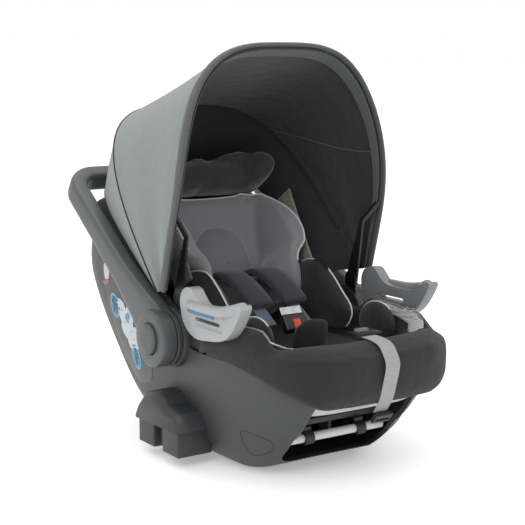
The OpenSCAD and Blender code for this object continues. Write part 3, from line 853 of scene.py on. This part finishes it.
guide = {"face": 187, "back": 168, "edge": 3.0}
guideOutline = [(-50, 258), (-53, 277), (-66, 288), (-84, 288), (-96, 278), (-110, 268), (-134, 264),
                (-176, 265),
                (-200, 274), (-216, 283), (-222, 277), (-208, 254), (-190, 234), (-168, 222), (-133, 216),
                (-92, 214), (-62, 230)]
for side in (-1, 1):
    tag = "left" if side < 0 else "right"
    smooth = [(p[0], p[1]) for p in smoothPath(guideOutline, 5, True)]
    slotCut = block("cutter", (side * 150 if side > 0 else -230, -160, 241),
                    (230 if side > 0 else -150, -94, 247.5), 3,
                    "silver", None)
    dish = block("cutter2", (side * 184.5 if side > 0 else -230, -172, 232),
                 (230 if side > 0 else -184.5, -92, 249), 6,
                 "silver", None)
    # the right guide takes the darker silver copy: painted shade on the side away from the key lamp
    body = plate("belt_guide_plate_" + tag, smooth, side * guide["back"], side * guide["face"], guide["edge"],
                 "silver" if side < 0 else "darkSilver", "seat", (slotCut, dish))
    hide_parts("belt_guide_" + tag)
    rollPath = smoothPath([(side * 182, -76, 262), (side * 185, -90, 262), (side * 185.5, -150, 263),
                           (side * 184, -190, 270), (side * 172, -216, 280)], 8)

    def rollSection(f):
        r = 9.5 * max(0.02, 1 - abs(2 * f - 1) ** 11) ** 0.5
        return roundSection(r, 24)

    # the right roll takes the same painted shade
    sweep("belt_guide_roll_" + tag, rollPath, rollSection, "silver" if side < 0 else "darkSilver")
    inlay = block("guide_inlay_" + tag, (side * 190.5 if side > 0 else -194.6, -156, 253.5),
                  (194.6 if side > 0 else -190.5, -83, 259), 1.6, "blue")
    if side < 0:
        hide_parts("guide_inlays")
print("belt guides")

# ---- pushchair adapters ----

for side in (-1, 1):
    tag = "left" if side < 0 else "right"
    low = plate("adapter_block_" + tag, [(-66, 18), (60, 18), (60, 64), (-66, 64)], side * 140, side * 203,
                3, "adapter",
                "seat", (block("cutter", (side * 188 if side > 0 else -230, -16, 10),
                               (230 if side > 0 else -188, 10, 60), 3,
                               "adapter", None),))
    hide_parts("adapter_" + tag)
    cap = [(-73, 60), (-73, 78), (-66, 90), (-30, 96), (-20, 108), (10, 112), (40, 104), (58, 84), (67, 62),
           (67, 58)]
    rings = []
    for x, shrink in ((150, 0), (186, 0), (196, 1.5), (204, 8), (207, 14), (208.5, 20)):
        rings.append([(side * x, mix(y, mix(-3, y, 0.9), shrink / 20),
                       z - (z > 70) * shrink * (z - 60) / 50) for y, z in cap])
    loft("adapter_cap_" + tag, rings, "adapter", sharp=40)
print("adapters")

# ---- side labels: black film with plain coloured shapes, no lettering ----

labelEdge = [(251, 295), (212, 297), (168, 244), (121, 178), (84, 134), (94, 106), (146, 93), (192, 135),
             (234, 220)]


def onSide(outlinePoints, side, lift, cells=22):
    # patch of film over the shell inside an outline of (Y, Z) points
    edge = smoothPath([(p[0], p[1]) for p in outlinePoints], 4, True)
    cy, cz = sum(p[0] for p in edge) / len(edge), sum(p[1] for p in edge) / len(edge)
    return [[thrown(shellSurface, mix(cy, y, f), mix(cz, z, f), side, lift) for y, z in edge]
            for f in [k / cells for k in range(cells, 0, -1)]]


def film(name, outlinePoints, side, lift, look, cells=14):
    rings = onSide(outlinePoints, side, lift, cells)
    return loft(name, rings, look, caps=False)


shapes = [
    ("labelWhite", [(240, 282), (222, 286), (221, 262), (238, 258)]),
    ("labelRed", [(247, 252), (243, 246), (222, 252), (226, 257)]),
    ("labelBlue", [(219, 231), (203, 237), (188, 226), (186, 204), (202, 194), (219, 208)]),
    ("labelBlack", [(215, 228), (204, 232), (193, 223), (191, 207), (203, 200), (214, 210)]),
    ("labelWhite", [(196, 228), (182, 230), (166, 222), (158, 196), (176, 188), (192, 206)]),
    ("labelWhite", [(184, 186), (150, 226), (136, 214), (142, 180), (164, 164)]),
    ("labelBlue", [(166, 204), (152, 212), (148, 202), (162, 192)]),
    ("labelWhite", [(164, 172), (132, 190), (120, 174), (126, 150), (152, 146)]),
    ("labelBlue", [(152, 152), (136, 158), (122, 146), (122, 124), (138, 114), (152, 126)]),
    ("labelBlack", [(148, 148), (137, 152), (127, 143), (127, 128), (138, 120), (147, 129)]),
]
for side in (-1, 1):
    tag = "left" if side < 0 else "right"
    base = film("label_film_" + tag, labelEdge, side, 0.5, "labelBlack", 22)
    if side < 0:
        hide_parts("side_labels")
    for i, (look, edge) in enumerate(shapes):
        film("label_shape_%s_%d" % (tag, i), edge, side, 0.9, look)
print("labels")

# ---- padding ----

lean = math.radians(33)


def onBack(x, y, s):
    return (x, 69 + y * math.cos(lean) + s * math.sin(lean), 180 - y * math.sin(lean) + s * math.cos(lean))


def padRing(s, w, depth, thick, wall, drop, base):
    front = [(w * 0.3, thick), (w * 0.6, thick + 1), (w - wall - 12, max(thick + 8, depth * 0.52)),
             (w - wall, max(thick + 16, depth * 0.8)), (w - wall * 0.75, depth - 4), (w - wall * 0.35, depth)]
    back = [(w * 0.3, 0), (w * 0.6, 0), (w - 14, 2), (w - 2, 16), (w, depth * 0.6), (w - 1, depth - 9)]
    ring = [(-q[0], q[1]) for q in front[::-1]] + [(0, thick)] + front
    ring += back[::-1] + [(0, 0)] + [(-q[0], q[1]) for q in back]
    return [onBack(x, -base - d, s - drop * (max(0, abs(x) - 60) / 68) ** 2) for x,
            d in smoothPath(ring, 4, True)]


def padLoft(name, table, material, body, cap, base, size=34):
    # table rows: distance up the back, half-width, reach of the wings, thickness, wing thickness,
    # and how far the outer corners drop
    low, high = table[0][0], table[-1][0]
    rings = []
    for i in range(size + 1):
        s = mix(low, high, i / size)
        values = [curveAt([(row[0], row[k]) for row in table], s) for k in (1, 2, 3, 4, 5)]
        rings.append(padRing(s, *values, base))
    return puff(loft(name, rings, material, body), cap)


insert = padLoft("insert_cloth", [(15, 88, 82, 20, 18, 0), (24, 92, 102, 22, 20, 0), (60, 94, 119, 24, 22, 0),
                                  (86, 97, 124, 27, 24, 0), (110, 120, 129, 32, 28, 0),
                                  (150, 127, 125, 38, 30, 4),
                                  (190, 127, 110, 45, 28, 12), (224, 122, 90, 52, 26, 22),
                                  (244, 110, 72, 50, 22, 26)],
                 "insert", "seat", 6, -23)
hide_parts("infant_insert")
insertSurface = surfaceOf(insert)
rim = [(-116, 108, 110), (-126, 106, 150), (-126, 90, 190), (-118, 66, 222), (-84, 44, 242), (-30, 30, 250),
       (20, 29, 251),
       (70, 36, 248), (100, 54, 236), (118, 74, 214), (126, 90, 190), (128, 105, 156), (125, 110, 122),
       (115, 108, 94), (100, 100, 74)]
rim = [onBack(x, -d, s) for x, d, s in rim]
tube("insert_piping", [snapped(insertSurface, p, 0.6) for p in smoothPath(rim, 10)], 1.5, "whitePiping")

head = padLoft("headrest_cloth", [(250, 114, 74, 40, 24, 4), (264, 122, 92, 45, 26, 10),
                                  (284, 125, 100, 48, 26, 16),
                                  (302, 121, 93, 46, 24, 25), (313, 110, 76, 40, 20, 34)], "headrest",
                                  "headrest", 5, -4, 20)
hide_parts("headrest_pad")


def pillow(name, edge, at, front, back, material, body="seat", crown=2.6):
    # cushion with a seam all round; at(a, b, h) puts a point of the outline plane, h to its front
    ring = smoothPath(edge, 8, True)
    ca, cb = sum(p[0] for p in ring) / len(ring), sum(p[1] for p in ring) / len(ring)
    shares = [0.02, 0.2, 0.38, 0.55, 0.7, 0.82, 0.9, 0.955, 0.985]
    rows = []
    for f, height in [(f, front) for f in shares] + [(1.0, 0)] + [(f, -back) for f in shares[::-1]]:
        h = height * (1 - f ** crown) ** 0.6
        rows.append([at(mix(ca, a, f), mix(cb, b, f), h) for a, b in ring])
    obj = loft(name, rows, material, body)
    applied(obj, "SUBSURF", levels=1)
    finishShading(obj)
    for vertex in obj.data.vertices:
        vertex.co += vertex.normal * (noise.noise(vertex.co * 30) * 0.0009)
    return obj, [at(a, b, 0) for a, b in ring]


padOval = [(0, 40), (30, 46), (50, 72), (56, 108), (52, 146), (36, 172), (0, 184), (-36, 172), (-52, 146),
           (-56, 108),
           (-50, 72), (-30, 46)]
centre, centreEdge = pillow("back_pad_cloth", padOval, lambda a, b,
                            h: onBack(a, -8 - h - 0.10 * (b - 60), b), 15, 8, "centrePad")
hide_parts("back_pad")
top = [p for p in centreEdge if p[2] > onBack(0, 0, 156)[2]]
top.sort(key=lambda p: p[0])
stitches("back_pad_stitches", [(p[0], p[1] - 1.2, p[2] + 1.8) for p in top], 2.4, 1.8, 0.45, "greyPiping")

bolsterEdge = [(71, 268), (42, 289), (12, 296), (-14, 294), (-44, 275), (-70, 252), (-92, 232), (-94, 212),
               (-70, 190),
               (0, 186), (44, 198), (70, 228)]
hipEdge = [(-118, 200), (-114, 222), (-132, 242), (-160, 249), (-186, 242), (-200, 222), (-196, 202),
           (-158, 192)]
for side in (-1, 1):
    tag = "left" if side < 0 else "right"
    bolster, edge = pillow("bolster_cloth_" + tag, bolsterEdge, lambda a, b, h: (side * (113 - h), a, b), 20,
                           7, "bolster")
    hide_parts("side_bolster_" + tag)
    start = min(range(len(edge)), key=lambda i: -edge[i][2])
    run = [edge[(start + i) % len(edge)] for i in range(-12, 44)]
    tube("bolster_piping_" + tag, run, 1.5, "whitePiping")
    hip, edge = pillow("hip_pad_" + tag, hipEdge, lambda a, b, h: (side * (117 - h), a, b), 13, 8, "bolster")
    tube("hip_piping_" + tag, [edge[i] for i in range(0, 34)], 1.3, "whitePiping")
    if side < 0:
        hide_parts("hip_bolsters")
    mesh = sheetFrom("mesh_strip_" + tag, lambda u,
                     v: onBack(side * (122 + 4 * v), -36 - 60 * u, 60 + 150 * v), 12, 24, 2.5,
                     "oliveMesh")
    if side < 0:
        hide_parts("mesh_strips")
# pale spacer mesh on the inner wall of the cover, beside the hips
for side in (-1, 1):
    mesh = sheetFrom("spacer_mesh_" + ("left" if side < 0 else "right"),
                     lambda u, v: snapped(coverSurface,
                         (side * (137 - 26 * u), -118 - 130 * v, 268 - 26 * u - 18 * v), 1.6),
                     10, 30, 1.5, "whiteMesh")
    tube("spacer_mesh_edge_" + ("left" if side < 0 else "right"),
               [snapped(coverSurface, (side * 137, -118 - 130 * i / 20, 268 - 18 * i / 20), 2.2)
                for i in range(21)], 1.8, "greyPiping")
plate("fabric_tab", [(-2, 305), (-44, 297), (-32, 284), (8, 292)], 108, 110, 0.6, "tab")
print("padding")

# ---- harness ----


strapPath = [(-74, 212), (-54, 224), (-24, 242), (14, 258), (50, 264), (84, 256)]
padPath = [(-48, 240), (-20, 257), (16, 272), (50, 278), (84, 269)]
for side in (-1, 1):
    tag = "left" if side < 0 else "right"
    path = smoothPath([(side * 34, y, z) for y, z in strapPath], 10)
    strap = sweep("harness_strap_" + tag, path, boxSection(25, 2, 6), "blueWeb", "seat", (0, -0.7, 0.7))
    path = smoothPath([(side * 34, y, z) for y, z in padPath], 10)

    def padSection(f):
        end = (1 - abs(2 * f - 1) ** 14) ** 0.5 if 0 < f < 1 else 0.05
        return boxSection(47 * (0.9 + 0.1 * end), 14 * max(0.1, end), 3)

    pad = sweep("shoulder_pad_" + tag, path, padSection, "plum", "seat", (0, -0.7, 0.7))
    if side < 0:
        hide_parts("shoulder_straps")
        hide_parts("shoulder_pads")


def onBuckle(x, y, z):
    a = math.radians(-33)
    return (x - 22, -106 + y * math.cos(a) - z * math.sin(a), 207 + y * math.sin(a) + z * math.cos(a))


buckleBody = block("buckle_housing", (0, 0, 0), (44, 16, 30), 4.5, "blackPlastic", "seat",
                   lambda p: onBuckle(*p))
redButton = block("buckle_red_button", (15.4, -1.8, 4.4), (28.6, 4, 19.6), 1.6, "red", "red_button",
                  lambda p: onBuckle(*p))
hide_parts("buckle_body")
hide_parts("buckle_button")
for i, x in enumerate((5, 25)):
    tongue = block("buckle_tongue_%d" % i, (x - 3, 5, 29), (x + 17, 9, 44), 1.5, "chrome", "seat",
                   lambda p: onBuckle(*p))
    if i == 0:
        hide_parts("buckle_tongues")
crotchEdge = [(-30, 0), (-31, 30), (-24, 44), (0, 50), (24, 44), (31, 30), (30, 0), (0, -6)]


def onCrotch(a, b, h):
    t = math.radians(18)
    y, z = -8 - h, 6 + b
    return (a, -120 + y * math.cos(t) - z * math.sin(t), 180 + y * math.sin(t) + z * math.cos(t))


crotch, _ = pillow("crotch_pad_cloth", crotchEdge, onCrotch, 9, 7, "crotch")
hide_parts("crotch_pad")
stem = sweep("crotch_strap_web", smoothPath([(0, -104, 172), (0, -108, 190), (0, -112, 214)], 8),
             boxSection(25, 2, 6),
             "blueWeb", "seat", (0, -1, 0))
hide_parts("crotch_strap")
frontPath = [(-262, 227.4), (-284, 227.8), (-304, 226.8), (-321, 222), (-332, 210), (-338, 198), (-337, 186),
             (-331, 164),
             (-324, 142), (-310, 120)]
path = smoothPath([(0, y, z) for y, z in frontPath], 8)
frontStrap = sweep("adjuster_web", path, boxSection(26, 2, 6), "greyWeb", "seat",
                   [tuple(Vector((0, p[1] + 280, p[2] - 150)).normalized()) for p in path])
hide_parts("adjuster_strap")
print("harness")

# ---- cloth that crosses a joint ----

for obj in [hoodMain, liningMain, hemBand] + [bpy.data.objects[n] for n in
                                              ("lining_piping_left", "lining_piping_right",
                                               "hood_hem_stitches")]:
    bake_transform(obj)

# ---- floor and sky ----

world = bpy.data.worlds.new("sky")
scene.world = world
world.use_nodes = True
background = world.node_tree.nodes["Background"]
background.inputs["Color"].default_value = linear("#ffffff", 1)
background.inputs["Strength"].default_value = light["sky"]
floorMesh = bpy.data.meshes.new("floor")
floorMesh.from_pydata([(-80, -80, 0), (80, -80, 0), (80, 80, 0), (-80, 80, 0)], [], [(0, 1, 2, 3)])
floorMaterial, _, floorShader = newMaterial("pale_floor", "#ffffff", 0.7)
floorShader.inputs["Base Color"].default_value = linear("#ffffff", 0.9)
floorShader.inputs["Emission Color"].default_value = linear("#ffffff", 1)
floorShader.inputs["Emission Strength"].default_value = 0.3
floorMesh.materials.append(floorMaterial)
floor = bpy.data.objects.new("floor", floorMesh)
scene.collection.objects.link(floor)
